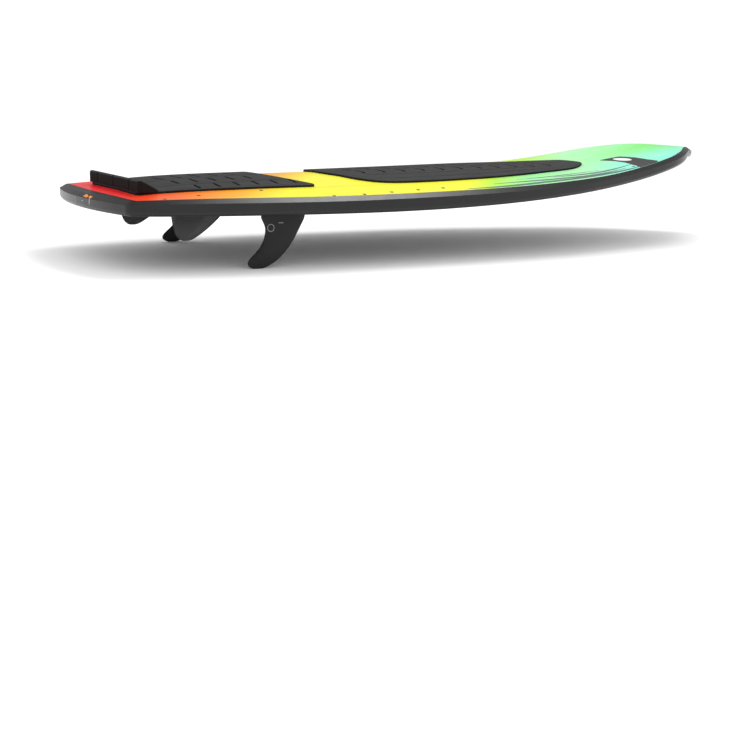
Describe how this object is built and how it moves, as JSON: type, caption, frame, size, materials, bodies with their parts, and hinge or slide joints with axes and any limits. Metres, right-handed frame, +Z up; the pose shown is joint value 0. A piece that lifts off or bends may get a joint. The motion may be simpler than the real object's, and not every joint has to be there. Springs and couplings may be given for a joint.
{
  "type": "wakesurf board",
  "caption": "Surf-shaped board for riding a boat's wake, with grip pads, a tail kick and removable fins in boxes.",
  "frame": {"origin": "on the centreline midway between nose and tail, level with the lowest points of the big front fins", "axes": "+X to the nose, +Y to the left (port) rail, +Z up through the deck"},
  "size_m": [1.562, 0.54, 0.2138],
  "materials": {
    "deck_print": "glossy colour-graded laminate",
    "bottom_print": "glossy colour-graded laminate",
    "rail_black": "satin black",
    "grip_foam": "matt fine-textured foam",
    "board_foam": "matt closed-cell foam",
    "dense_foam": "matt dense foam",
    "stringer_wood": "bare",
    "box_plastic": "matt",
    "fin_black": "satin",
    "fin_smoke": "smoke-tinted, polished",
    "screw_steel": "bare"
  },
  "bodies": {
    "board": {"deck_skin": "deck_print", "bottom_skin": "bottom_print", "rail_left": "rail_black", "rail_right": "rail_black", "front_pad": "grip_foam", "rear_pad": "grip_foam", "kick_left": "grip_foam", "kick_centre": "grip_foam", "kick_right": "grip_foam", "foam_core_left": "board_foam", "foam_core_right": "board_foam", "stringer": "stringer_wood", "fin_screws": "screw_steel", "fin_box_front_left": "box_plastic", "fin_block_front_left": "dense_foam", "fin_box_front_right": "box_plastic", "fin_block_front_right": "dense_foam", "fin_box_rear_left": "box_plastic", "fin_block_rear_left": "dense_foam", "fin_box_rear_right": "box_plastic", "fin_block_rear_right": "dense_foam"},
    "fin_front_left": {"fin_front_left": "fin_black"},
    "fin_front_right": {"fin_front_right": "fin_black"},
    "fin_rear_left": {"fin_rear_left": "fin_smoke"},
    "fin_rear_right": {"fin_rear_right": "fin_smoke"}
  },
  "joints": [
    {"name": "fin_front_left_pull_out", "type": "slide", "parent": "board", "child": "fin_front_left", "axis": [0, 0, -1], "range_m": [0, 0.018]},
    {"name": "fin_front_right_pull_out", "type": "slide", "parent": "board", "child": "fin_front_right", "axis": [0, 0, -1], "range_m": [0, 0.018]},
    {"name": "fin_rear_left_pull_out", "type": "slide", "parent": "board", "child": "fin_rear_left", "axis": [0, 0, -1], "range_m": [0, 0.018]},
    {"name": "fin_rear_right_pull_out", "type": "slide", "parent": "board", "child": "fin_rear_right", "axis": [0, 0, -1], "range_m": [0, 0.018]}
  ]
}
